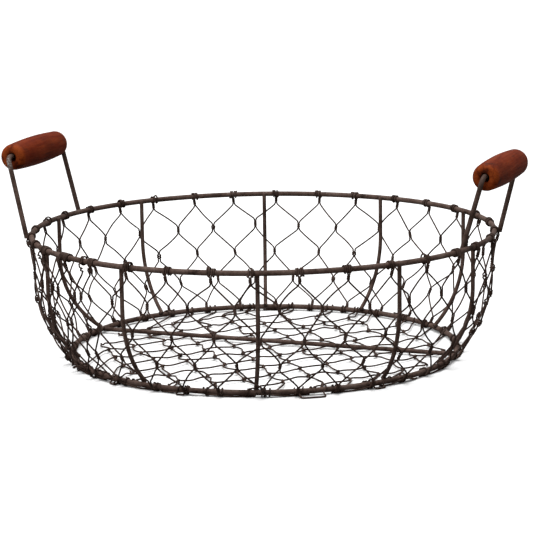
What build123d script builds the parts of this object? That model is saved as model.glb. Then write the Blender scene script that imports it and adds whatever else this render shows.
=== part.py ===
"""Round wire produce basket: welded wire frame, hexagonal wire netting, two wooden bail grips.

Millimetres. +Z is up, the origin is on the basket's axis at the surface it stands on, and +X runs
from the left handle to the right one. Angles are in degrees about +Z from +X.
"""

import os
from math import atan2, cos, degrees, hypot, radians, sin, sqrt

from build123d import *

# Frame rings and height
RIM_RADIUS = 152.4
BASE_RADIUS = 128.3
BASKET_HEIGHT = 79.0
SHOULDER_HEIGHT = 52.0

# Wire diameters
RING_WIRE = 3.5
RIB_WIRE = 2.7
ROD_WIRE = 3.0
HANDLE_WIRE = 3.2
MESH_WIRE = 1.0

# Welded wires stand side by side with this much between their surfaces
WELD_GAP = 0.06
LEG_GAP = 0.18
ROD_END_GAP = 0.2

# Each rib's angle where it meets the rim, and where it meets the base ring
RIB_ANGLES = [
    (351, 352),
    (41, 40),
    (74, 75),
    (108, 108),
    (144, 144),
    (178, 173),
    (221, 215),
    (253, 252),
    (287, 286),
    (322, 324),
]
ROD_ANGLES = (170, 4)

# Each handle's side; its grip's middle along Y and height over the rim, and the angle its axis is
# turned out from Y; the width of its U; and for the leg nearer to -Y and the farther one, the angle
# where it meets the rim, and on which side
OUTSIDE = 1
INSIDE = -1
HANDLE_LEFT = {
    "side": -1,
    "centre": -6.5,
    "rise": 50.0,
    "turn": 0.0,
    "width": 86.0,
    "near_leg": (202, OUTSIDE),
    "far_leg": (164.3, OUTSIDE),
}
HANDLE_RIGHT = {
    "side": 1,
    "centre": 0.0,
    "rise": 46.0,
    "turn": 3.2,
    "width": 82.0,
    "near_leg": (-14.7, INSIDE),
    "far_leg": (14, OUTSIDE),
}
HANDLE_BEND = 4.0
LEG_BELOW_RIM = 1.8

# Grips
GRIP_REACH = 160.0
GRIP_LENGTH = 76.0
GRIP_RADIUS = 9.75
GRIP_SHOULDER_RADIUS = 8.75
GRIP_END_RADIUS = 5.8
GRIP_SHOULDER = 5.0
GRIP_KNEE = 0.3
GRIP_BORE_RADIUS = 2.8

# Netting
MESH_COLUMNS = 33
MESH_PHASE = -2.3
WALL_ROWS = 4
WALL_END = 4.5
TWIST_LENGTH = 7.0
TWIST_GAP = 0.2
MESH_BEND = 1.5
HOOK_CLEARANCE = 0.1
HOOK_TURN = 45.0
RIM_HOOK = (112.5, 67.5, 22.5)
FLOOR_HOOK = (157.5, 112.5, 67.5)
RIB_CLEARANCE = 0.5
FLOOR_PITCH = 25.4
FLOOR_ROW = 17.6
FLOOR_WIRES = 18
FLOOR_REACH = 121.0
FLOOR_SHIFT = 3.0

# Heights and radii that follow from the above
HOOK_RADIUS = RING_WIRE / 2 + HOOK_CLEARANCE + MESH_WIRE / 2
BASE_LEVEL = HOOK_RADIUS + MESH_WIRE / 2
RIM_LEVEL = BASE_LEVEL + BASKET_HEIGHT
RIB_INSET = (RING_WIRE + RIB_WIRE) / 2 + WELD_GAP
RIB_TOP_RADIUS = RIM_RADIUS - RIB_INSET
RIB_ABOVE_RIM = 1.0
RIB_PAST_BASE = 1.0
FLOOR_LEVEL = BASE_LEVEL - ROD_WIRE / 2 - MESH_WIRE / 2 - HOOK_CLEARANCE


def bend_radius_of(spread, inset):
    """Radius of a rib's bend: tangent to its upright, which stands spread outside the base ring's
    centre line, and passing inside that line by inset."""
    return (spread**2 + SHOULDER_HEIGHT**2 - inset**2) / (2 * (spread + inset))


RIB_BEND = bend_radius_of(RIB_TOP_RADIUS - BASE_RADIUS, RIB_INSET)
BEND_AXIS = RIB_TOP_RADIUS - RIB_BEND

# The netting follows the ribs' outer side and swells out to clear both rings
NET_OFFSET = (RIB_WIRE + MESH_WIRE) / 2 + RIB_CLEARANCE
RIM_SWELL = RIM_RADIUS + HOOK_RADIUS - RIB_TOP_RADIUS - NET_OFFSET
BASE_FROM_BEND = hypot(BASE_RADIUS - BEND_AXIS, SHOULDER_HEIGHT)
BASE_SWELL = BASE_FROM_BEND + HOOK_RADIUS - RIB_BEND - NET_OFFSET
BASE_SLOPE = degrees(atan2(SHOULDER_HEIGHT, BASE_RADIUS - BEND_AXIS))
UPRIGHT_LENGTH = BASKET_HEIGHT - SHOULDER_HEIGHT
WALL_LENGTH = UPRIGHT_LENGTH + RIB_BEND * radians(BASE_SLOPE)
SWELL_START = 0.92
SWELL_POWER = 4


def polar(radius, angle, height):
    """Point at a radius and an angle about the basket's axis."""
    return (radius * cos(radians(angle)), radius * sin(radians(angle)), height)


def bent_wire(points, diameter, bend_radius):
    """Round wire along the points, with its corners rounded."""
    with BuildPart() as wire:
        with BuildLine() as route:
            FilletPolyline(*points, radius=bend_radius)
        with BuildSketch(Plane(origin=route.line @ 0, z_dir=route.line % 0)):
            Circle(diameter / 2)
        sweep(path=route.line)
    return wire


def ring(radius, level):
    """Closed ring of frame wire."""
    with BuildPart(Plane.XY.offset(level)) as wire:
        Torus(radius, RING_WIRE / 2)
    return wire


def rib(top_angle, foot_angle):
    """Upright wire, welded inside the rim, that bends in to rest against the base ring's inside."""
    top = Vector(*polar(RIB_TOP_RADIUS, top_angle, BASE_LEVEL))
    base = Vector(*polar(BASE_RADIUS, foot_angle, BASE_LEVEL))
    outward = top - base
    upright = Plane(origin=base, x_dir=outward, z_dir=(outward.Y, -outward.X, 0))
    spread = outward.length
    lean = outward.get_angle(Vector(*polar(1, foot_angle, 0)))
    bend = bend_radius_of(spread, RIB_INSET / cos(radians(lean)))
    turned = atan2(SHOULDER_HEIGHT, bend - spread) + RIB_PAST_BASE / bend
    foot = (spread - bend + bend * cos(turned), SHOULDER_HEIGHT - bend * sin(turned))
    with BuildPart() as wire:
        with BuildLine(upright) as route:
            Line((spread, BASKET_HEIGHT + RIB_ABOVE_RIM), (spread, SHOULDER_HEIGHT))
            RadiusArc((spread, SHOULDER_HEIGHT), foot, bend)
        with BuildSketch(Plane(origin=route.line @ 0, z_dir=route.line % 0)):
            Circle(RIB_WIRE / 2)
        sweep(path=route.line)
    return wire


def rod(start_angle, end_angle):
    """Straight rod across the floor, between the base ring's inner sides."""
    reach = BASE_RADIUS - RING_WIRE / 2 - ROD_END_GAP
    start = Vector(*polar(reach, start_angle, BASE_LEVEL))
    along = Vector(*polar(reach, end_angle, BASE_LEVEL)) - start
    ends = (Align.CENTER, Align.CENTER, Align.MIN)
    with BuildPart(Plane(origin=start, z_dir=along)) as wire:
        Cylinder(ROD_WIRE / 2, along.length, align=ends)
    return wire


def leg_foot(corner, angle, rim_side):
    """Cut end of a handle's leg, which leans against the rim and ends just below it."""
    beside = (RING_WIRE + HANDLE_WIRE) / 2 + LEG_GAP
    leg = corner - Vector(*polar(RIM_RADIUS, angle, RIM_LEVEL))
    lean = atan2(leg.dot(Vector(*polar(1, angle, 0))), leg.Z)
    at_rim = Vector(*polar(RIM_RADIUS + rim_side * beside / cos(lean), angle, RIM_LEVEL))
    return at_rim + (at_rim - corner).normalized() * LEG_BELOW_RIM


def grip_axis(bail):
    """Middle point of a handle's grip, and the direction its axis points in."""
    middle = Vector(bail["side"] * GRIP_REACH, bail["centre"], RIM_LEVEL + bail["rise"])
    way = Vector(sin(radians(bail["turn"])), cos(radians(bail["turn"])), 0)
    return middle, way


def handle(bail):
    """U-shaped bail of one wire, from the foot of its near leg to the foot of its far leg."""
    middle, way = grip_axis(bail)
    near = middle - way * bail["width"] / 2
    far = middle + way * bail["width"] / 2
    near_foot = leg_foot(near, *bail["near_leg"])
    far_foot = leg_foot(far, *bail["far_leg"])
    return bent_wire([near_foot, near, far, far_foot], HANDLE_WIRE, HANDLE_BEND)


def grip(bail):
    """Turned wooden barrel with a loose bore, which spins on its handle's wire."""
    middle, way = grip_axis(bail)
    half = GRIP_LENGTH / 2
    shoulder = half - GRIP_SHOULDER
    profile_plane = Plane(origin=middle, x_dir=way, z_dir=way.cross(Vector(0, 0, 1)))
    knee_radius = GRIP_KNEE * GRIP_END_RADIUS + (1 - GRIP_KNEE) * GRIP_SHOULDER_RADIUS
    knee = (half - GRIP_KNEE * GRIP_SHOULDER, knee_radius)
    with BuildPart() as barrel:
        with BuildSketch(profile_plane):
            with BuildLine():
                ThreePointArc((-shoulder, GRIP_SHOULDER_RADIUS), (0, GRIP_RADIUS),
                              (shoulder, GRIP_SHOULDER_RADIUS))
                for end in (-1, 1):
                    ThreePointArc((end * shoulder, GRIP_SHOULDER_RADIUS), (end * knee[0], knee[1]),
                                  (end * half, GRIP_END_RADIUS))
                    Line((end * half, GRIP_END_RADIUS), (end * half, GRIP_BORE_RADIUS))
                Line((-half, GRIP_BORE_RADIUS), (half, GRIP_BORE_RADIUS))
            make_face()
        revolve(axis=Axis(middle, way))
    return barrel


def wall_point(along, angle):
    """Point of the netting's wall at a distance down it from the rim."""
    from_middle = abs(2 * along / WALL_LENGTH - 1)
    swell = RIM_SWELL if 2 * along < WALL_LENGTH else BASE_SWELL
    offset = NET_OFFSET + swell * min(1, from_middle / SWELL_START) ** SWELL_POWER
    if along < UPRIGHT_LENGTH:
        return polar(RIB_TOP_RADIUS + offset, angle, RIM_LEVEL - along)
    turned = (along - UPRIGHT_LENGTH) / RIB_BEND
    radius = BEND_AXIS + (RIB_BEND + offset) * cos(turned)
    return polar(radius, angle, BASE_LEVEL + SHOULDER_HEIGHT - (RIB_BEND + offset) * sin(turned))


def hook(ring_radius, ring_level, turns, angle):
    """Corners of a wire's hook round a ring; each turn is an angle in the ring's section."""
    reach = HOOK_RADIUS / cos(radians(HOOK_TURN / 2))
    return [polar(ring_radius + reach * cos(radians(turn)), angle,
                  ring_level + reach * sin(radians(turn))) for turn in turns]


def wall_wire(index):
    """One wire of the wall: hooked over the rim, twisted with each neighbour in turn."""
    half_column = 180 / MESH_COLUMNS
    half_twist = TWIST_LENGTH / 2
    beside = (MESH_WIRE + TWIST_GAP) / 2
    points = []
    for row in range(WALL_ROWS + 1):
        partner = 1 if (index + row) % 2 == 0 else -1
        twist_angle = MESH_PHASE + (index + 0.5 * (partner - 1)) * half_column
        level = WALL_END + row * (WALL_LENGTH - 2 * WALL_END) / WALL_ROWS
        radius = hypot(*wall_point(level, 0)[:2])
        angle = twist_angle - partner * degrees(beside / radius)
        if row == 0:
            points += hook(RIM_RADIUS, RIM_LEVEL, RIM_HOOK, angle)
        points.append(wall_point(level - half_twist, angle))
        points.append(wall_point(level + half_twist, angle))
    first_turn = -BASE_SLOPE - HOOK_TURN / 2
    points += hook(BASE_RADIUS, BASE_LEVEL, (first_turn, first_turn - HOOK_TURN), angle)
    return bent_wire(points, MESH_WIRE, MESH_BEND)


def floor_end(x, side):
    """End of a floor wire: out to the base ring, then up and over it."""
    reach = BASE_RADIUS - HOOK_RADIUS
    angle = degrees(atan2(side * sqrt(reach**2 - x**2), x))
    return [polar(reach, angle, FLOOR_LEVEL), *hook(BASE_RADIUS, BASE_LEVEL, FLOOR_HOOK, angle)]


def floor_wire(index):
    """One wire of the floor, from the front of the base ring to the back."""
    middle = FLOOR_SHIFT + (index - (FLOOR_WIRES - 1) / 2) * FLOOR_PITCH / 2
    half_twist = TWIST_LENGTH / 2
    beside = (MESH_WIRE + TWIST_GAP) / 2
    points = []
    rows = int(FLOOR_REACH / FLOOR_ROW) + 1
    for row in range(-rows, rows + 1):
        partner = 1 if (index + row) % 2 == 0 else -1
        twist_x = middle + partner * FLOOR_PITCH / 4
        x = twist_x - partner * beside
        y = row * FLOOR_ROW
        if hypot(twist_x, abs(y) + half_twist) <= FLOOR_REACH:
            points += [(x, y - half_twist, FLOOR_LEVEL), (x, y + half_twist, FLOOR_LEVEL)]
    front = floor_end(points[0][0], -1)
    back = floor_end(points[-1][0], 1)
    return bent_wire(front[::-1] + points[1:-1] + back, MESH_WIRE, MESH_BEND)


rim_ring = ring(RIM_RADIUS, RIM_LEVEL)
base_ring = ring(BASE_RADIUS, BASE_LEVEL)
base_rod = rod(*ROD_ANGLES)

handle_left = handle(HANDLE_LEFT)
handle_right = handle(HANDLE_RIGHT)
grip_left = grip(HANDLE_LEFT)
grip_right = grip(HANDLE_RIGHT)

first_wire = wall_wire(0)
second_wire = wall_wire(1)
with BuildPart() as wall_netting:
    with PolarLocations(0, MESH_COLUMNS):
        add(first_wire.part)
        add(second_wire.part)

floor_wires = [floor_wire(index) for index in range(FLOOR_WIRES)]
with BuildPart() as floor_netting:
    for wire in floor_wires:
        add(wire.part)

pieces = {
    "rim_ring": rim_ring,
    "base_ring": base_ring,
    "base_rod": base_rod,
    "handle_left": handle_left,
    "handle_right": handle_right,
    "grip_left": grip_left,
    "grip_right": grip_right,
    "wall_netting": wall_netting,
    "floor_netting": floor_netting,
}
for number, angles in enumerate(RIB_ANGLES, start=1):
    pieces[f"rib_{number:02d}"] = rib(*angles)

os.makedirs("parts", exist_ok=True)
for name, piece in pieces.items():
    piece.part.label = name
    export_step(piece.part, f"parts/{name}.step")
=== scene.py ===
"""Looks of the round wire produce basket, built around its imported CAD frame.

Lengths in this script are in millimetres and become metres where a mesh is made. Angles about the
basket's axis are in degrees from +X, and angles in a ring's section are from its outer side, with
the top at 90.
"""

import math

import bmesh
import bpy
import numpy as np
from mathutils import Matrix, Vector, noise


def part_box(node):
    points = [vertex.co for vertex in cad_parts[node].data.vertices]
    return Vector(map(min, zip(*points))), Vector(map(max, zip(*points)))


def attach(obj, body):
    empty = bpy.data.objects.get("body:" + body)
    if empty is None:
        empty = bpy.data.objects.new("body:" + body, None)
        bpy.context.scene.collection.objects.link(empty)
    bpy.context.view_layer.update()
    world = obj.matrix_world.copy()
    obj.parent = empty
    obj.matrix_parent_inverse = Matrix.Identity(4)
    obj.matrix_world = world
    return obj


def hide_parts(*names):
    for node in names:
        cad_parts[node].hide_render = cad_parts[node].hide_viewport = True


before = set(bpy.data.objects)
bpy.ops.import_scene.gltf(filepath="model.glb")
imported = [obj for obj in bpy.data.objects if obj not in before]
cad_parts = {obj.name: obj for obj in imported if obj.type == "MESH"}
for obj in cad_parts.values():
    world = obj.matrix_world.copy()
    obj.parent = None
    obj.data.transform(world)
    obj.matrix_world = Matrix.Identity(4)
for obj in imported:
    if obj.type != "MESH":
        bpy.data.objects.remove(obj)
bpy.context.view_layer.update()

MM = 0.001

# The wall's shape, which the netting follows outside the ribs
SHOULDER_HEIGHT = 52.0
RIB_WIRE = 2.7
RIB_INSET = 3.16
RIB_CLEARANCE = 0.5
SWELL_START = 0.92
RIB_RIM_ANGLES = (351, 41, 74, 108, 144, 178, 221, 253, 287, 322)
RIB_BASE_ANGLES = (352, 40, 75, 108, 144, 173, 215, 252, 286, 324)
LEG_ANGLES = (202, 164.3, -14.7, 14)
ROD_ANGLES = (170, 4)

# Netting
MESH_WIRE = 1.10
COLUMNS = 33
WALL_ROWS = 4
WALL_END = 4.6
MESH_PHASE = -2.3
FLOOR_PITCH = 25.4
FLOOR_ROW = 17.6
FLOOR_WIRES = 18
FLOOR_REACH = 121.0
FLOOR_SHIFT = 3.0
TWIST_LENGTH = 7.0
HELIX_RADIUS = 0.58 * MESH_WIRE
# How much a twist's winding slows down at its two ends, from 0 (evenly wound) to 1
EASE = 0.85
# Angle from a twist's axis at which the wires of the wall run into it and out of it
WALL_FAN = 38.0
# Space that a netting wire keeps from a weld on the rim and on the base ring, and that a wall twist
# and a floor wire's end take up on their ring
RIM_WELD_SPACE = 1.7
BASE_WELD_SPACE = 1.6
TWIST_SPACE = 2.3
FLOOR_END_SPACE = 1.2

# The netting was stretched unevenly round the rim: its columns stand this far from an even spacing
STRETCH_SHIFT = -3.6
STRETCH_SWING = 3.4
STRETCH_TOWARDS = 350.0

# Spare ends of netting wire that lie along the base ring: where each starts (degrees), how far it
# reaches along the ring, the section angles it starts and ends at, and how far it stands off
SPARE_ENDS = (
    (246, 26, -20, -115, 0.1),
    (259, 24, -70, 10, 0.0),
    (272, 30, -30, -100, 0.0),
    (289, 26, -20, -110, 0.0),
    (307, 28, -105, -15, 0.1),
    (322, 24, -90, 35, 0.2),
    (329, 16, 30, -70, 0.4),
    (338, 26, -100, -20, 0.3),
    (346, 18, -10, -100, 0.5),
    (231, 20, -90, 10, 0.1),
    (221, 18, 20, -80, 0.4),
    (208, 22, -100, 0, 0.3),
    (98, 24, -20, -110, 0.1),
    (36, 20, -100, 10, 0.1),
)


# ---------------------------------------------------------------- shape of the frame

def ring_of(node):
    """Radius, level and wire diameter of a ring of the frame."""
    low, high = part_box(node)
    wire = (high.z - low.z) / MM
    return high.x / MM - wire / 2, (low.z + high.z) / 2 / MM, wire


RIM_RADIUS, RIM_LEVEL, RING_WIRE = ring_of("rim_ring")
BASE_RADIUS, BASE_LEVEL, _ = ring_of("base_ring")
BASKET_HEIGHT = RIM_LEVEL - BASE_LEVEL
COIL_RADIUS = (RING_WIRE + MESH_WIRE) / 2 + 0.02
LOWEST = MESH_WIRE / 2 + 0.05

RIB_TOP_RADIUS = RIM_RADIUS - RIB_INSET
SPREAD = RIB_TOP_RADIUS - BASE_RADIUS
RIB_BEND = (SPREAD**2 + SHOULDER_HEIGHT**2 - RIB_INSET**2) / (2 * (SPREAD + RIB_INSET))
BEND_AXIS = RIB_TOP_RADIUS - RIB_BEND
NET_OFFSET = (RIB_WIRE + MESH_WIRE) / 2 + RIB_CLEARANCE
RIM_SWELL = RIM_RADIUS + COIL_RADIUS - RIB_TOP_RADIUS - NET_OFFSET
BASE_SWELL = math.hypot(BASE_RADIUS - BEND_AXIS, SHOULDER_HEIGHT) + COIL_RADIUS - RIB_BEND - NET_OFFSET
BASE_SLOPE = math.atan2(SHOULDER_HEIGHT, BASE_RADIUS - BEND_AXIS)
UPRIGHT_LENGTH = BASKET_HEIGHT - SHOULDER_HEIGHT
WALL_LENGTH = UPRIGHT_LENGTH + RIB_BEND * BASE_SLOPE


def polar(radius, angle, height):
    """Point at a radius and an angle about the basket's axis."""
    turn = math.radians(angle)
    return np.array([radius * math.cos(turn), radius * math.sin(turn), height])


def wall_point(along, angle, lift=0.0):
    """Point of the netting's wall at a distance down it from the rim, lifted outwards."""
    from_middle = abs(2 * along / WALL_LENGTH - 1)
    swell = RIM_SWELL if 2 * along < WALL_LENGTH else BASE_SWELL
    offset = NET_OFFSET + swell * min(1, from_middle / SWELL_START) ** 4 + lift
    if along < UPRIGHT_LENGTH:
        return polar(RIB_TOP_RADIUS + offset, angle, RIM_LEVEL - along)
    turned = (along - UPRIGHT_LENGTH) / RIB_BEND
    radius = BEND_AXIS + (RIB_BEND + offset) * math.cos(turned)
    return polar(radius, angle, BASE_LEVEL + SHOULDER_HEIGHT - (RIB_BEND + offset) * math.sin(turned))


def unit(vector):
    """The vector at a length of 1."""
    return vector / np.linalg.norm(vector)


# ---------------------------------------------------------------- tubes

def tube(points, radius, sides=8):
    """Vertices and faces of a round wire along the points, with domed ends."""
    path = np.asarray(points, float)
    count = len(path)
    ahead = np.gradient(path, axis=0)
    ahead /= np.linalg.norm(ahead, axis=1)[:, None]
    across = np.zeros_like(path)
    start = np.cross(ahead[0], [0.3, 0.2, 1.0])
    across[0] = unit(start)
    for i in range(1, count):
        carried = across[i - 1] - ahead[i] * np.dot(across[i - 1], ahead[i])
        across[i] = unit(carried)
    up = np.cross(ahead, across)
    radii = np.full(count, radius) if np.isscalar(radius) else np.asarray(radius, float)
    path = np.vstack([path[0] - ahead[0] * radii[0] * 0.35, path, path[-1] + ahead[-1] * radii[-1] * 0.35])
    across = np.vstack([across[0], across, across[-1]])
    up = np.vstack([up[0], up, up[-1]])
    radii = np.concatenate([[radii[0] * 0.72], radii, [radii[-1] * 0.72]])
    turn = np.linspace(0, 2 * np.pi, sides, endpoint=False)
    ring = np.cos(turn)[None, :, None] * across[:, None, :] + np.sin(turn)[None, :, None] * up[:, None, :]
    vertices = (path[:, None, :] + radii[:, None, None] * ring).reshape(-1, 3)
    first = np.arange(sides)
    second = (first + 1) % sides
    faces = []
    for i in range(len(path) - 1):
        low, high = i * sides, (i + 1) * sides
        faces += np.stack([low + first, low + second, high + second, high + first], axis=1).tolist()
    faces.append(list(range(sides - 1, -1, -1)))
    last = (len(path) - 1) * sides
    faces.append([last + i for i in range(sides)])
    return vertices, faces


def mesh_piece(name, parts, material, body="basket", replaces=()):
    """One object made of several (vertices, faces) pairs, riding on a body."""
    vertices, faces, offset = [], [], 0
    for part_vertices, part_faces in parts:
        vertices.append(np.asarray(part_vertices) * MM)
        faces += [[i + offset for i in face] for face in part_faces]
        offset += len(part_vertices)
    mesh = bpy.data.meshes.new(name)
    mesh.from_pydata(np.vstack(vertices).tolist(), [], faces)
    mesh.polygons.foreach_set("use_smooth", [True] * len(mesh.polygons))
    mesh.materials.append(material)
    mesh.update()
    piece = bpy.data.objects.new(name, mesh)
    bpy.context.scene.collection.objects.link(piece)
    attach(piece, body)
    if replaces:
        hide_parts(*replaces)


def bezier(start, start_way, end, end_way, handle, steps, bow):
    """Points of a wire's run between two places, without its ends; bow is how far it sags sideways."""
    reach = min(handle, 0.4 * np.linalg.norm(end - start))
    b, c = start + start_way * reach, end - end_way * reach
    t = np.linspace(0, 1, steps + 2)[1:-1, None]
    run = (1 - t) ** 3 * start + 3 * (1 - t) ** 2 * t * b + 3 * (1 - t) * t**2 * c + t**3 * end
    return run + np.sin(np.pi * t) ** 2 * bow


def above_floor(path):
    """The path with whatever dips under the basket's lowest level raised to it."""
    points = np.array(path)
    points[:, 2] = np.maximum(points[:, 2], LOWEST)
    return points


# ---------------------------------------------------------------- twists, coils and places on a ring

class Twist:
    """Where two neighbouring wires are wound round each other."""

    def __init__(self, centre, across, along, out, rng, length, turns, opened, tilt):
        lean = math.radians(tilt)
        self.centre = centre
        self.axis = along * math.cos(lean) + across * math.sin(lean)
        self.side = across * math.cos(lean) - along * math.sin(lean)
        self.out = out
        self.length = length
        self.turns = turns
        self.opened = opened
        self.fan_in, self.fan_out = WALL_FAN, WALL_FAN
        self.hand = 1 if rng.random() < 0.5 else -1

    def swaps(self):
        """Whether a wire leaves the twist on the other side than it came in on."""
        return round(2 * self.turns) % 2 == 1

    def strand(self, side):
        """Points of the strand that enters on side -1 or +1."""
        steps = max(12, round(12 * self.turns))
        t = np.linspace(0, 1, steps + 1)
        eased = t - EASE * np.sin(2 * np.pi * t) / (2 * np.pi)
        phase = (0 if side > 0 else np.pi) + self.hand * 2 * np.pi * self.turns * eased
        flare = 0.55 * np.maximum(0, np.abs(2 * t - 1) - 0.8) / 0.2
        radius = HELIX_RADIUS * (1 + flare) + self.opened * np.sin(np.pi * t) ** 2
        return (self.centre + np.outer((t - 0.5) * self.length, self.axis)
                + np.outer(radius * np.cos(phase), self.side)
                + np.outer(radius * np.sin(phase), self.out))

    def spread(self, side, leaving):
        """Direction in which a strand runs where it comes in on a side, or leaves on it."""
        swung = math.radians(self.fan_out if leaving else self.fan_in)
        if leaving:
            return self.axis * math.cos(swung) + self.side * side * math.sin(swung)
        return self.axis * math.cos(swung) - self.side * side * math.sin(swung)


def coil(radius, level, angle, leave, way, turns, pitch, loose, loose_at, tip, fineness=18):
    """Wire end wound round a ring, from where it leaves the ring to its cut end.

    leave is the section angle where it leaves, way is +1 or -1 for the sense it is wound in, pitch
    is how far it advances along the ring each turn, and loose is how far the turns stand off it."""
    steps = max(8, round(fineness * turns))
    t = np.linspace(0, 1, steps + 1)
    section = np.radians(leave) + way * 2 * np.pi * turns * t
    stand_off = loose * np.maximum(0, np.cos(section - math.radians(loose_at))) ** 2
    lift = tip * np.maximum(0, t - 0.86) / 0.14
    reach = COIL_RADIUS + stand_off + lift
    around = np.radians(angle) + pitch * turns * t / radius
    return np.stack([(radius + reach * np.cos(section)) * np.cos(around),
                     (radius + reach * np.cos(section)) * np.sin(around),
                     level + reach * np.sin(section)], axis=1)


def free_place(angle, half_width, taken):
    """Nearest angle to the one given whose stretch of ring is free; it is then taken."""
    for step in range(200):
        for way in (1, -1):
            tried = angle + way * step * 0.1
            if all(abs((tried - at + 180) % 360 - 180) >= half_width + width for at, width in taken):
                taken.append((tried, half_width))
                return tried
    return angle


# ---------------------------------------------------------------- wall netting

def stretched(angle):
    """Where a column of evenly spaced netting really stands."""
    return angle + STRETCH_SHIFT - STRETCH_SWING * math.cos(math.radians(angle - STRETCH_TOWARDS))


def near_side(angle, middle, reach):
    """How near an angle is to a middle: 1 at it, and 0 beyond the reach."""
    return max(0.0, 1 - abs((angle - middle + 180) % 360 - 180) / reach)


def wall_twist(row, slot, rng, lift, shift, taken_rim, taken_base):
    """The twist of a row between one wire and the next, with the unevenness of handwork."""
    half_column = 180 / COLUMNS
    angle = stretched(MESH_PHASE + slot * half_column) + shift + rng.normal(0, 0.42)
    level = WALL_END + row * (WALL_LENGTH - 2 * WALL_END) / WALL_ROWS
    if row == 0:
        angle = free_place(angle, math.degrees(TWIST_SPACE / RIM_RADIUS), taken_rim)
    elif row == WALL_ROWS:
        angle = free_place(angle, math.degrees(TWIST_SPACE / BASE_RADIUS), taken_base)
    else:
        level += rng.normal(0, 0.65)
    wildness = max(near_side(angle, 8, 22), near_side(angle, 205, 30))
    opened = 0.0
    turns = rng.choice([2, 2, 2.5, 1.5])
    if rng.random() < 0.10 + 0.5 * wildness:
        opened = rng.uniform(0.35, 0.75) + 0.35 * wildness
        turns = rng.choice([1, 1.5, 2])
    length = TWIST_LENGTH * rng.uniform(0.9, 1.12)
    if row in (0, WALL_ROWS):
        turns = 2
        length = TWIST_LENGTH * 0.96
    tilt = rng.normal(0, 4 + 6 * wildness)
    centre = wall_point(level, angle, lift)
    across = unit(polar(1, angle + 90, 0))
    along = unit(wall_point(level + 1, angle, lift) - wall_point(level - 1, angle, lift))
    twist = Twist(centre, across, along, np.cross(along, across), rng, length, turns, opened, tilt)
    twist.angle = angle
    return twist


def wall_coil(twist, side, at_rim, rng):
    """A wall wire's end, wound round the rim or the base ring, from the twist outwards."""
    if at_rim:
        turns = rng.uniform(1.05, 1.85) if side > 0 else rng.uniform(0.8, 1.6)
    else:
        turns = rng.uniform(0.9, 1.5) if side > 0 else rng.uniform(0.5, 0.7)
    loose = rng.uniform(0.5, 1.4) if rng.random() < 0.2 else rng.uniform(0, 0.1)
    tip = rng.uniform(0.0, 0.15) if at_rim else 0.0
    radius, level = (RIM_RADIUS, RIM_LEVEL) if at_rim else (BASE_RADIUS, BASE_LEVEL)
    leave, way = (0, 1) if at_rim else (-math.degrees(BASE_SLOPE), -1)
    loose_at = rng.uniform(70, 130) if at_rim else rng.uniform(20, 60)
    start = twist.angle + side * math.degrees(0.52 * MESH_WIRE / radius)
    return coil(radius, level, start, leave, way, turns, side * 1.08 * MESH_WIRE, loose, loose_at, tip)


class Wire:
    """One netting wire as it is followed: its points so far and the direction it runs in."""

    def __init__(self):
        self.points = []
        self.way = None

    def through(self, twist, side, rng, handle, droop):
        """Takes the wire on through a twist that it enters on a side, with the run before it."""
        strand = twist.strand(side)
        if self.points:
            start, end = self.points[-1], strand[0]
            steps = max(5, int(np.linalg.norm(end - start) / 1.0))
            beside = unit(np.cross(end - start, twist.out))
            bow = twist.out * rng.normal(0, droop) + beside * rng.normal(0, droop)
            self.points.extend(bezier(start, self.way, end, twist.spread(side, False), handle, steps, bow))
        self.points.extend(strand)
        self.way = twist.spread(-side if twist.swaps() else side, True)


def wall_netting(rng, taken_rim, taken_base):
    """Paths of the wall's wires: each is twisted with its neighbours on alternate rows."""
    wires = 2 * COLUMNS
    in_slot = list(range(wires))
    netting = [Wire() for _ in range(wires)]
    for row in range(WALL_ROWS + 1):
        for slot in range(row % 2, wires, 2):
            twist = wall_twist(row, slot, rng, 0.0, 0.0, taken_rim, taken_base)
            pair = (slot, (slot + 1) % wires)
            for side, place in zip((-1, 1), pair):
                wire = netting[in_slot[place]]
                if row == 0:
                    wire.points.extend(wall_coil(twist, side, True, rng)[::-1])
                    wire.points.extend(twist.strand(side))
                    wire.way = twist.spread(-side if twist.swaps() else side, True)
                else:
                    wire.through(twist, side, rng, rng.uniform(1.0, 2.2), 0.3)
                if row == WALL_ROWS:
                    wire.points.extend(wall_coil(twist, side, False, rng))
            if twist.swaps():
                first, second = in_slot[pair[0]], in_slot[pair[1]]
                in_slot[pair[0]], in_slot[pair[1]] = second, first
    return [above_floor(wire.points) for wire in netting]


def overlap_strip(rng, first_slot, count, lift, shift, taken_rim, taken_base):
    """The netting's other edge, lapped over its first columns where the strip closes on itself."""
    in_slot = list(range(count))
    netting = [Wire() for _ in range(count)]
    for row in range(WALL_ROWS + 1):
        for slot in range(first_slot - 1, first_slot + count, 1):
            if (slot + row) % 2:
                continue
            left, right = slot - first_slot, slot - first_slot + 1
            sides = [(s, p) for s, p in ((-1, left), (1, right)) if 0 <= p < count]
            if not sides:
                continue
            twist = wall_twist(row, slot, rng, lift, shift, taken_rim, taken_base)
            for side, place in sides:
                wire = netting[in_slot[place]]
                if row == 0:
                    wire.points.extend(wall_coil(twist, side, True, rng)[::-1])
                    wire.points.extend(twist.strand(side))
                    wire.way = twist.spread(-side if twist.swaps() else side, True)
                else:
                    wire.through(twist, side, rng, 1.8, 0.5)
                if row == WALL_ROWS:
                    wire.points.extend(wall_coil(twist, side, False, rng))
            if len(sides) == 2 and twist.swaps():
                in_slot[left], in_slot[right] = in_slot[right], in_slot[left]
    return [above_floor(wire.points) for wire in netting]


# ---------------------------------------------------------------- floor netting

ROD_START = polar(BASE_RADIUS, ROD_ANGLES[0], 0)
ROD_WAY = unit(polar(BASE_RADIUS, ROD_ANGLES[1], 0) - ROD_START)


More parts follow.
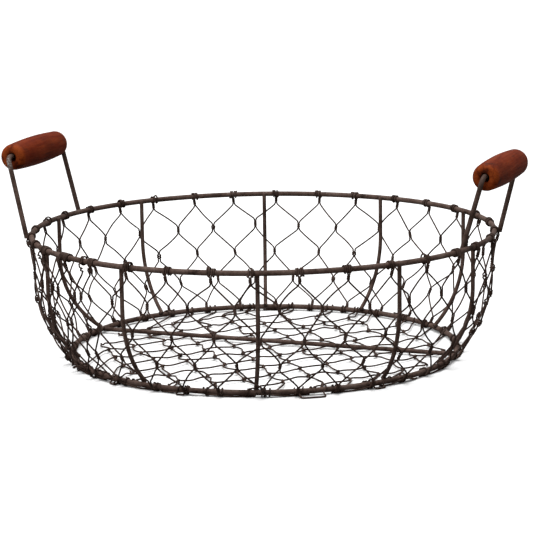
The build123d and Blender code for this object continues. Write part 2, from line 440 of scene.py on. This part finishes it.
def past_rod(x, y):
    """Signed distance of a floor point from the rod's middle line."""
    offset = np.array([x, y, 0]) - ROD_START
    return ROD_WAY[0] * offset[1] - ROD_WAY[1] * offset[0]


def floor_twist(x, y, rng):
    """A twist of the floor netting. Its middle stays out from under the rod."""
    x += rng.normal(0, 1.0)
    y += rng.normal(0, 1.0)
    away = past_rod(x, y)
    clear = TWIST_LENGTH / 2 + 2.6
    if abs(away) < clear:
        y += math.copysign(clear, away) - away
    rise = 0.9 * min(1, max(0, abs(past_rod(x, y)) - clear) / 12) * rng.uniform(0.0, 1.0)
    centre = np.array([x, y, 2 * HELIX_RADIUS + rise])
    turns = rng.choice([1, 1, 1.5])
    opened = rng.uniform(0.1, 0.35) if rng.random() < 0.3 else 0.0
    across, along = np.array([1.0, 0, 0]), np.array([0, 1.0, 0])
    length = 0.95 * TWIST_LENGTH * rng.uniform(0.85, 1.15)
    twist = Twist(centre, across, along, np.array([0, 0, 1.0]), rng, length, turns, opened, rng.normal(0, 9))
    fans = [rng.uniform(20, 42), rng.uniform(68, 88)]
    rng.shuffle(fans)
    twist.fan_in, twist.fan_out = fans
    return twist


def floor_coil(x, y, rng, taken):
    """A floor wire's end, wound round the base ring, from where it comes in under it."""
    angle = free_place(math.degrees(math.atan2(y, x)), math.degrees(FLOOR_END_SPACE / BASE_RADIUS), taken)
    if rng.random() < 0.6:
        turns = rng.uniform(0.25, 0.4)
        return coil(BASE_RADIUS, BASE_LEVEL, angle, -150, -1, turns, 2 * MESH_WIRE, 0.0, 0, 0.0)
    turns = rng.choice([0.5, 0.75, 1.3])
    way = rng.choice([-1, 1])
    loose = rng.uniform(0.5, 1.2) if rng.random() < 0.15 else 0.0
    pitch = way * MESH_WIRE * rng.choice([1.1, 1.1, 5.0])
    return coil(BASE_RADIUS, BASE_LEVEL, angle, -90, 1, turns, pitch, loose, rng.uniform(60, 130), 0.0)


def floor_end(start, start_way, coiled, rng):
    """The run from a wire's outermost twist to its coil on the base ring, and the coil."""
    way_in = unit(np.array([coiled[0][0], coiled[0][1], 0]))
    steps = max(5, int(np.linalg.norm(coiled[0] - start) / 1.0))
    run = bezier(start, start_way, coiled[0], way_in, rng.uniform(2, 5), steps, 0)
    return list(run) + list(coiled)


def floor_netting(rng, taken):
    """Paths of the floor's wires, which run from the front of the base ring to its back."""
    rows = int(FLOOR_REACH / FLOOR_ROW) + 1
    in_slot = list(range(FLOOR_WIRES))
    netting = [Wire() for _ in range(FLOOR_WIRES)]
    used = set()
    for row in range(-rows, rows + 1):
        for slot in range(-1, FLOOR_WIRES):
            middle = FLOOR_SHIFT + (slot - (FLOOR_WIRES - 1) / 2) * FLOOR_PITCH / 2
            x, y = middle + FLOOR_PITCH / 4, row * FLOOR_ROW
            if (slot + row) % 2 or math.hypot(x, abs(y) + TWIST_LENGTH / 2) > FLOOR_REACH:
                continue
            twist = floor_twist(x, y, rng)
            sides = [(s, p) for s, p in ((-1, slot), (1, slot + 1)) if 0 <= p < FLOOR_WIRES]
            for side, place in sides:
                wire = netting[in_slot[place]]
                if not wire.points:
                    entry = twist.strand(side)[0]
                    coiled = floor_coil(entry[0], -math.sqrt(BASE_RADIUS**2 - entry[0] ** 2), rng, taken)
                    first_run = floor_end(entry, -twist.spread(side, False), coiled, rng)
                    wire.points.extend(first_run[::-1])
                    wire.points.extend(twist.strand(side))
                    wire.way = twist.spread(-side if twist.swaps() else side, True)
                else:
                    droop = 0.12 if abs(past_rod(*wire.points[-1][:2])) < 14 else 0.4
                    wire.through(twist, side, rng, rng.uniform(3.5, 7.5), droop)
                used.add(place)
            if len(sides) == 2 and twist.swaps():
                in_slot[slot], in_slot[slot + 1] = in_slot[slot + 1], in_slot[slot]
    for slot in sorted(used):
        wire = netting[in_slot[slot]]
        x = wire.points[-1][0]
        coiled = floor_coil(x, math.sqrt(BASE_RADIUS**2 - x**2), rng, taken)
        wire.points.extend(floor_end(wire.points[-1], wire.way, coiled, rng))
    return [above_floor(wire.points) for wire in netting if wire.points]


# ---------------------------------------------------------------- loose ends

def hanging_loop(angle, width, out, low):
    """Loop of spare wire that pokes out from under the base ring."""
    spread = math.degrees(width / 2 / BASE_RADIUS)
    corners = [
        polar(BASE_RADIUS - 1.2, angle - 0.6 * spread, BASE_LEVEL + 2.4),
        polar(BASE_RADIUS + 2.2, angle - 0.8 * spread, BASE_LEVEL + 1.2),
        polar(BASE_RADIUS + 2.3, angle - 1.0 * spread, BASE_LEVEL - 1.0),
        polar(BASE_RADIUS + out, angle - 0.9 * spread, low),
        polar(BASE_RADIUS + out + 0.4, angle, low),
        polar(BASE_RADIUS + out, angle + 0.9 * spread, low),
        polar(BASE_RADIUS + 2.3, angle + 1.0 * spread, BASE_LEVEL - 1.0),
        polar(BASE_RADIUS + 2.2, angle + 1.25 * spread, BASE_LEVEL + 1.2),
        polar(BASE_RADIUS - 1.0, angle + 1.3 * spread, BASE_LEVEL + 2.5),
    ]
    return spline(corners, 0.6)


def hugging_wire(angle, reach, leave, end, stand_off):
    """Spare wire lying along the base ring, from one section angle round to another."""
    turns = abs(end - leave) / 360
    way = 1 if end > leave else -1
    pitch, fineness = reach / turns, 36 / turns
    return coil(BASE_RADIUS, BASE_LEVEL, angle, leave, way, turns, pitch, stand_off, -60, 0.0, fineness)


def spline(corners, spacing):
    """Smooth curve through the corners."""
    points = np.vstack([2 * corners[0] - corners[1], corners, 2 * corners[-1] - corners[-2]])
    curve = []
    for a, b, c, d in zip(points, points[1:], points[2:], points[3:]):
        steps = max(2, int(np.linalg.norm(c - b) / spacing))
        for t in np.linspace(0, 1, steps, endpoint=False):
            curve.append(0.5 * (2 * b + (c - a) * t + (2 * a - 5 * b + 4 * c - d) * t**2
                                + (3 * b - a - 3 * c + d) * t**3))
    curve.append(points[-2])
    return curve


# ---------------------------------------------------------------- welds

def weld_bead(centre, outward, size, rng):
    """Small lump of weld metal, uneven all over."""
    lump = bmesh.new()
    bmesh.ops.create_icosphere(lump, subdivisions=3, radius=1.0)
    seed = Vector(rng.uniform(0, 50, 3))
    out = unit(outward)
    side = unit(np.cross([0, 0, 1.0], out))
    up = np.cross(out, side)
    turned = Matrix((side, out, up)).transposed()
    for vertex in lump.verts:
        swell = 1 + 0.28 * noise.noise(vertex.co * 1.6 + seed) + 0.08 * noise.noise(vertex.co * 5 + seed)
        vertex.co = turned @ Vector(vertex.co[i] * size[i] * swell for i in range(3)) + Vector(centre)
    vertices = [tuple(vertex.co) for vertex in lump.verts]
    faces = [[vertex.index for vertex in face.verts] for face in lump.faces]
    lump.free()
    return vertices, faces


def all_welds(rng):
    """Welds of the ribs to both rings, of the rod's ends, and of the handles' legs to the rim."""
    beads = []
    for angle in RIB_RIM_ANGLES:
        beads.append(weld_bead(polar(RIM_RADIUS - 1.9, angle, RIM_LEVEL - 0.3), polar(1, angle, 0),
                               (1.75, 0.95, 1.25), rng))
    inwards = (-math.cos(BASE_SLOPE), math.sin(BASE_SLOPE))
    for angle in RIB_BASE_ANGLES:
        centre = polar(BASE_RADIUS + 1.9 * inwards[0], angle, BASE_LEVEL + 1.9 * inwards[1])
        beads.append(weld_bead(centre, polar(inwards[0], angle, inwards[1]), (1.75, 0.95, 1.5), rng))
    for angle in ROD_ANGLES:
        beads.append(weld_bead(polar(BASE_RADIUS - 2.0, angle, BASE_LEVEL), polar(1, angle, 0),
                               (1.95, 0.9, 1.7), rng))
    for angle, way in zip(LEG_ANGLES, (1, 1, -1, 1)):
        beads.append(weld_bead(polar(RIM_RADIUS + way * 1.8, angle, RIM_LEVEL - 0.4), polar(1, angle, 0),
                               (1.9, 1.0, 1.7), rng))
    return beads


# ---------------------------------------------------------------- grips

GRIP_LENGTH = 76.0
GRIP_SHOULDER = 5.0
# How much thinner a grip is at its shoulders than at its belly, and how far its ends round off
GRIP_TAPER = 1.0
GRIP_ROUNDING = 3.2
# A grip hangs this far down on its handle's wire, within the play of its bore
GRIP_DROP = 0.9
# Angle that each grip's axis is turned out from Y
GRIP_TURN = {"grip_left": 0.0, "grip_right": 3.2}


def grip_mesh(node, seed):
    """Turned barrel with a rounded shoulder, a slightly dished end and a bore, as (vertices, faces)."""
    low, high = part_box(node)
    middle = (np.array(low) + np.array(high)) / 2 / MM
    half = GRIP_LENGTH / 2
    turned_out = math.radians(GRIP_TURN[node])
    belly = (high.z - low.z) / 2 / MM
    shoulder = half - GRIP_SHOULDER
    profile = []
    for t in np.linspace(0, 1, 26):
        y = t * shoulder
        profile.append((y, belly - GRIP_TAPER * (y / shoulder) ** 2))
    for t in np.linspace(0.08, 1, 14):
        swing = t * math.pi / 2
        drop = GRIP_TAPER + GRIP_ROUNDING * (1 - math.cos(swing))
        profile.append((shoulder + 4.9 * math.sin(swing) ** 0.9, belly - drop))
    profile += [(half - 0.04, 4.9), (half - 0.12, 4.3), (half - 0.22, 3.7), (half - 0.45, 3.25)]
    profile += [(half - 0.9, 2.95), (half - 2.0, 2.8), (half - 6.0, 2.78)]
    outline = [(-y, r) for y, r in profile[:0:-1]] + profile
    sides = 96
    vertices = []
    for y, r in outline:
        for k in range(sides):
            turn = 2 * math.pi * k / sides
            spot = Vector((math.cos(turn) * 1.3, y * 0.045, math.sin(turn) * 1.3 + seed))
            dent = 0.10 * noise.noise(spot) + 0.035 * noise.noise(spot * 4)
            radius = r + dent * min(1, r / belly)
            beside = radius * math.cos(turn)
            vertices.append((middle[0] + beside * math.cos(turned_out) + y * math.sin(turned_out),
                             middle[1] + y * math.cos(turned_out) - beside * math.sin(turned_out),
                             middle[2] - GRIP_DROP + radius * math.sin(turn)))
    faces = []
    rows = len(outline)
    for i in range(rows):
        following = (i + 1) % rows
        for k in range(sides):
            beside = (k + 1) % sides
            low, high = i * sides, following * sides
            faces.append([low + k, low + beside, high + beside, high + k])
    return vertices, faces


# ---------------------------------------------------------------- materials

def new_material(name):
    """Empty material with one Principled shader, as (material, tree, shader)."""
    material = bpy.data.materials.new(name)
    material.use_nodes = True
    tree = material.node_tree
    tree.nodes.clear()
    output = tree.nodes.new("ShaderNodeOutputMaterial")
    shader = tree.nodes.new("ShaderNodeBsdfPrincipled")
    tree.links.new(shader.outputs["BSDF"], output.inputs["Surface"])
    return material, tree, shader


def add_noise(tree, vector, scale, detail=4.0, roughness=0.55, distortion=0.0):
    """Noise texture read at a place, as its grey socket."""
    node = tree.nodes.new("ShaderNodeTexNoise")
    node.inputs["Scale"].default_value = scale
    node.inputs["Detail"].default_value = detail
    node.inputs["Roughness"].default_value = roughness
    node.inputs["Distortion"].default_value = distortion
    tree.links.new(vector, node.inputs["Vector"])
    return node.outputs["Fac"]


def add_ramp(tree, value, stops):
    """Colour ramp; stops are (place, colour), where a colour is a grey number or (r, g, b)."""
    node = tree.nodes.new("ShaderNodeValToRGB")
    elements = node.color_ramp.elements
    while len(elements) < len(stops):
        elements.new(0.5)
    for element, (place, colour) in zip(elements, stops):
        element.position = place
        rgb = (colour,) * 3 if isinstance(colour, (int, float)) else colour
        element.color = (*rgb, 1.0)
    tree.links.new(value, node.inputs["Fac"])
    return node.outputs["Color"]


def add_mix(tree, factor, first, second):
    """Colour mix; first and second are sockets or colours."""
    node = tree.nodes.new("ShaderNodeMix")
    node.data_type = "RGBA"
    for value, socket in ((factor, node.inputs[0]), (first, node.inputs[6]), (second, node.inputs[7])):
        if isinstance(value, tuple):
            socket.default_value = (*value, 1.0)
        elif isinstance(value, (int, float)):
            socket.default_value = value
        else:
            tree.links.new(value, socket)
    return node.outputs[2]


def add_math(tree, operation, first, second=0.0, third=0.0, clamp=False):
    """Math node; each value is a socket or a number."""
    node = tree.nodes.new("ShaderNodeMath")
    node.operation = operation
    node.use_clamp = clamp
    for value, socket in zip((first, second, third), node.inputs):
        if isinstance(value, (int, float)):
            socket.default_value = value
        else:
            tree.links.new(value, socket)
    return node.outputs[0]


def add_bump(tree, shader, height, strength, distance):
    """Bump from a height socket on the shader's normal."""
    node = tree.nodes.new("ShaderNodeBump")
    node.inputs["Strength"].default_value = strength
    node.inputs["Distance"].default_value = distance
    tree.links.new(height, node.inputs["Height"])
    tree.links.new(node.outputs["Normal"], shader.inputs["Normal"])


def object_place(tree):
    """Place on the object, in metres."""
    return tree.nodes.new("ShaderNodeTexCoord").outputs["Object"]


def stretched_place(tree, scale):
    """Place on the object, scaled by its own factor along each axis."""
    mapping = tree.nodes.new("ShaderNodeMapping")
    mapping.inputs["Scale"].default_value = scale
    tree.links.new(object_place(tree), mapping.inputs["Vector"])
    return mapping.outputs["Vector"]


def nearness(tree, point, reach):
    """1 at a point of the frame and 0 at the reach from it, both in millimetres."""
    node = tree.nodes.new("ShaderNodeVectorMath")
    node.operation = "DISTANCE"
    node.inputs[1].default_value = [coordinate * MM for coordinate in point]
    tree.links.new(object_place(tree), node.inputs[0])
    share = add_math(tree, "DIVIDE", node.outputs["Value"], reach * MM)
    return add_math(tree, "SUBTRACT", 1.0, share, clamp=True)


WIRE_DARK = (0.020, 0.0105, 0.0072)
WIRE_BROWN = (0.078, 0.048, 0.038)
WIRE_WORN = (0.140, 0.098, 0.082)
BARE_STEEL = (0.26, 0.245, 0.235)


def wire_material(name, brown, worn, dark_share, bump, bare_at=None):
    """Aged dark brown steel: blotchy patina, fine drawing marks, and worn lighter spots."""
    material, tree, shader = new_material(name)
    place = object_place(tree)
    blotch = add_noise(tree, place, 95.0, 6.0, 0.6)
    speck = add_noise(tree, place, 900.0, 3.0, 0.6)
    colour = add_ramp(tree, blotch, [(dark_share, WIRE_DARK), (dark_share + 0.17, brown), (0.80, worn)])
    grime = add_ramp(tree, speck, [(0.36, 0.45), (0.58, 1.0)])
    shade = tree.nodes.new("ShaderNodeMix")
    shade.data_type = "RGBA"
    shade.blend_type = "MULTIPLY"
    shade.inputs[0].default_value = 0.65
    tree.links.new(colour, shade.inputs[6])
    tree.links.new(grime, shade.inputs[7])
    colour = shade.outputs[2]
    roughness = add_ramp(tree, blotch, [(0.3, 0.70), (0.72, 0.52)])
    if bare_at:
        bare = nearness(tree, *bare_at)
        ragged = add_math(tree, "MULTIPLY_ADD", speck, 0.9, -0.45)
        bare = add_math(tree, "ADD", bare, ragged)
        bare = add_ramp(tree, bare, [(0.42, 0.0), (0.62, 1.0)])
        colour = add_mix(tree, bare, colour, BARE_STEEL)
        roughness = add_mix(tree, bare, roughness, (0.28, 0.28, 0.28))
    tree.links.new(colour, shader.inputs["Base Color"])
    tree.links.new(roughness, shader.inputs["Roughness"])
    shader.inputs["Specular IOR Level"].default_value = 0.08
    height = add_mix(tree, 0.45, blotch, speck)
    add_bump(tree, shader, height, bump, 0.0006)
    return material


def wood_material(name, shift):
    """Red-brown stained wood, worn orange at the ends, with long pores and dark smudges."""
    material, tree, shader = new_material(name)
    fibre = add_noise(tree, stretched_place(tree, (420.0, 26.0, 420.0)), 1.0, 8.0, 0.62, 0.25)
    pores = add_noise(tree, stretched_place(tree, (1500.0, 60.0, 1500.0)), 1.0, 2.0, 0.5)
    cloud = add_noise(tree, object_place(tree), 62.0 + shift, 3.0, 0.55)
    smudge = add_noise(tree, object_place(tree), 130.0 + 3 * shift, 5.0, 0.65)
    stain = add_ramp(tree, fibre, [(0.28, (0.080, 0.0078, 0.0018)), (0.50, (0.125, 0.0160, 0.0024)),
                                   (0.74, (0.165, 0.0280, 0.0045))])
    warm = add_ramp(tree, cloud, [(0.35, (0.62, 0.55, 0.50)), (0.62, (1.0, 1.0, 1.0))])
    tinted = tree.nodes.new("ShaderNodeMix")
    tinted.data_type = "RGBA"
    tinted.blend_type = "MULTIPLY"
    tinted.inputs[0].default_value = 0.8
    tree.links.new(stain, tinted.inputs[6])
    tree.links.new(warm, tinted.inputs[7])
    colour = tinted.outputs[2]
    ends = end_share(tree)
    worn = add_math(tree, "MULTIPLY", add_ramp(tree, ends, [(0.86, 0.0), (0.97, 1.0)]),
                    add_ramp(tree, smudge, [(0.40, 0.0), (0.58, 0.85)]))
    colour = add_mix(tree, worn, colour, (0.21, 0.040, 0.008))
    soot = add_math(tree, "MULTIPLY", add_ramp(tree, ends, [(0.70, 0.0), (0.88, 1.0)]),
                    add_ramp(tree, smudge, [(0.30, 0.95), (0.46, 0.0)]))
    colour = add_mix(tree, soot, colour, (0.016, 0.008, 0.005))
    pits = add_ramp(tree, pores, [(0.30, 1.0), (0.42, 0.0)])
    colour = add_mix(tree, add_math(tree, "MULTIPLY", pits, 0.55), colour, (0.030, 0.007, 0.004))
    tree.links.new(colour, shader.inputs["Base Color"])
    tree.links.new(add_ramp(tree, fibre, [(0.3, 0.62), (0.75, 0.47)]), shader.inputs["Roughness"])
    shader.inputs["Specular IOR Level"].default_value = 0.03
    height = add_mix(tree, 0.5, fibre, pores)
    add_bump(tree, shader, height, 0.45, 0.0005)
    return material


def end_share(tree):
    """0 at the middle of a grip's length and 1 at its ends."""
    split = tree.nodes.new("ShaderNodeSeparateXYZ")
    tree.links.new(tree.nodes.new("ShaderNodeTexCoord").outputs["Generated"], split.inputs[0])
    centred = add_math(tree, "SUBTRACT", split.outputs["Y"], 0.5)
    return add_math(tree, "MULTIPLY", add_math(tree, "ABSOLUTE", centred), 2.0)


# Colour of the floor for the light that it throws back up onto the basket
FLOOR_BOUNCE = (0.16, 0.155, 0.15)


def floor_material():
    """Smooth pale studio floor with barely visible mottling, which throws little light back up."""
    material, tree, shader = new_material("studio_floor")
    mottle = add_noise(tree, object_place(tree), 6.0, 4.0)
    seen = tree.nodes.new("ShaderNodeLightPath").outputs["Is Camera Ray"]
    pale = add_ramp(tree, mottle, [(0.3, 0.75), (0.7, 0.77)])
    tree.links.new(add_mix(tree, seen, FLOOR_BOUNCE, pale), shader.inputs["Base Color"])
    shader.inputs["Roughness"].default_value = 0.9
    shader.inputs["Specular IOR Level"].default_value = 0.0
    return material


# ---------------------------------------------------------------- studio

FOCAL_LENGTH = 148.35
CAMERA_AZIMUTH = 18.47
CAMERA_ELEVATION = 12.86
CAMERA_DISTANCE = 1.4701
CAMERA_ROLL = -0.845
CAMERA_TILT_UP = 2.068
CAMERA_TURN = -0.046


def make_camera():
    """Camera aimed at the base ring's middle, then tilted up a little, as the object is framed."""
    data = bpy.data.cameras.new("camera")
    data.lens = FOCAL_LENGTH
    data.sensor_width = 36.0
    data.clip_start = 0.1
    data.clip_end = 50.0
    camera = bpy.data.objects.new("camera", data)
    bpy.context.scene.collection.objects.link(camera)
    azimuth, elevation = math.radians(CAMERA_AZIMUTH), math.radians(CAMERA_ELEVATION)
    back = Vector((math.sin(azimuth) * math.cos(elevation), -math.cos(azimuth) * math.cos(elevation),
                   math.sin(elevation)))
    place = Vector((0, 0, BASE_LEVEL * MM)) + back * CAMERA_DISTANCE
    aimed = (-back).to_track_quat("-Z", "Y").to_matrix()
    rolled = aimed @ Matrix.Rotation(math.radians(CAMERA_ROLL), 3, "Z")
    tilted = rolled @ Matrix.Rotation(math.radians(CAMERA_TILT_UP), 3, "X")
    turned = tilted @ Matrix.Rotation(math.radians(CAMERA_TURN), 3, "Y")
    camera.matrix_world = Matrix.Translation(place) @ turned.to_4x4()
    bpy.context.scene.camera = camera


def area_light(name, place, size, watts, target=(0, 0, 0.04)):
    """Square soft light at a place, facing the target; both in metres."""
    data = bpy.data.lights.new(name, "AREA")
    data.shape = "SQUARE"
    data.size = size
    data.energy = watts
    light = bpy.data.objects.new(name, data)
    bpy.context.scene.collection.objects.link(light)
    light.location = place
    light.rotation_euler = (Vector(target) - Vector(place)).to_track_quat("-Z", "Y").to_euler()


# Strength of the backdrop as the camera sees it, and as a light
BACKDROP_SEEN = 1.1
BACKDROP_LIGHT = 0.45
FLOOR_HALF_WIDTH = 1.1


def make_studio():
    """Plain pale floor and backdrop, with soft light from above and from the front left."""
    mesh = bpy.data.meshes.new("studio_floor")
    half = FLOOR_HALF_WIDTH
    corners = [(-half, -half, 0), (half, -half, 0), (half, half, 0), (-half, half, 0)]
    mesh.from_pydata(corners, [], [[0, 1, 2, 3]])
    mesh.materials.append(floor_material())
    floor = bpy.data.objects.new("studio_floor", mesh)
    bpy.context.scene.collection.objects.link(floor)
    world = bpy.data.worlds.new("studio")
    world.use_nodes = True
    background = world.node_tree.nodes["Background"]
    background.inputs["Color"].default_value = (1.0, 1.0, 1.0, 1.0)
    seen = world.node_tree.nodes.new("ShaderNodeLightPath").outputs["Is Camera Ray"]
    extra = BACKDROP_SEEN - BACKDROP_LIGHT
    strength = add_math(world.node_tree, "MULTIPLY_ADD", seen, extra, BACKDROP_LIGHT)
    world.node_tree.links.new(strength, background.inputs["Strength"])
    bpy.context.scene.world = world
    bpy.context.scene.view_settings.view_transform = "Standard"
    area_light("key_light", (-0.9, -1.3, 1.7), 2.2, 44.0)
    area_light("top_light", (0.1, 0.5, 2.2), 2.6, 74.0)


# ---------------------------------------------------------------- build

NETTING_SEED = 29
WELD_SEED = 5


def build_netting():
    """The wall's and the floor's netting, the lapped strip and the spare ends of wire."""
    rng = np.random.default_rng(NETTING_SEED)
    rim_space = math.degrees(RIM_WELD_SPACE / RIM_RADIUS)
    base_space = math.degrees(BASE_WELD_SPACE / BASE_RADIUS)
    taken_rim = [(angle, rim_space) for angle in RIB_RIM_ANGLES + LEG_ANGLES]
    taken_base = [(angle, base_space) for angle in RIB_BASE_ANGLES + ROD_ANGLES]
    wire = wire_material("netting_wire", (0.052, 0.031, 0.024), (0.100, 0.068, 0.056), 0.33, 0.30)
    wall = wall_netting(rng, taken_rim, taken_base)
    lapped = overlap_strip(rng, 43, 4, 1.3, -2.2, taken_rim, taken_base)
    floor = floor_netting(rng, taken_base)
    mesh_piece("wall_netting_wires", [tube(path, MESH_WIRE / 2) for path in wall], wire,
               replaces=["wall_netting"])
    mesh_piece("netting_overlap", [tube(path, MESH_WIRE / 2) for path in lapped], wire)
    mesh_piece("floor_netting_wires", [tube(path, MESH_WIRE / 2) for path in floor], wire,
               replaces=["floor_netting"])
    loops = [hanging_loop(301, 15, 7.6, 0.6), hanging_loop(321, 7, 4.4, 0.6), hanging_loop(265, 5, 3.8, 0.7),
             hanging_loop(242, 6, 3.8, 0.7), hanging_loop(140, 6, 4.2, 0.6), hanging_loop(60, 8, 4.4, 0.6)]
    for angle, reach, leave, end, stand_off in SPARE_ENDS:
        loops.append(hugging_wire(angle, reach, leave, end, stand_off))
    loops = [above_floor(path) for path in loops]
    mesh_piece("loose_loops", [tube(path, MESH_WIRE / 2) for path in loops], wire)


def build_frame_looks():
    """Materials for the frame's CAD nodes, and the welds that join them."""
    plain = wire_material("frame_wire", WIRE_BROWN, WIRE_WORN, 0.30, 0.22)
    low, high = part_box("handle_left")
    near_corner = ((low.x / MM) + 1.6, (low.y / MM) + 2.5, (high.z / MM) - 4.0)
    worn = wire_material("frame_wire_worn", WIRE_BROWN, WIRE_WORN, 0.30, 0.22, (near_corner, 13.0))
    for name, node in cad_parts.items():
        if name.startswith(("rib_", "rim_", "base_", "handle_")):
            node.data.materials.clear()
            node.data.materials.append(worn if name == "handle_left" else plain)
    weld = wire_material("weld_metal", (0.040, 0.026, 0.020), (0.070, 0.050, 0.042), 0.40, 0.55)
    mesh_piece("weld_beads", all_welds(np.random.default_rng(WELD_SEED)), weld)


def build_grips():
    """The two wooden grips, each in place of its CAD node and riding on its own body."""
    for number, side in enumerate(("left", "right")):
        node = f"grip_{side}"
        wood = wood_material(f"grip_wood_{side}", 9 * number)
        mesh_piece(f"wood_grip_{side}", [grip_mesh(node, 7.0 * number + 2)], wood, body=node,
                   replaces=[node])


build_netting()
build_frame_looks()
build_grips()
make_studio()
make_camera()
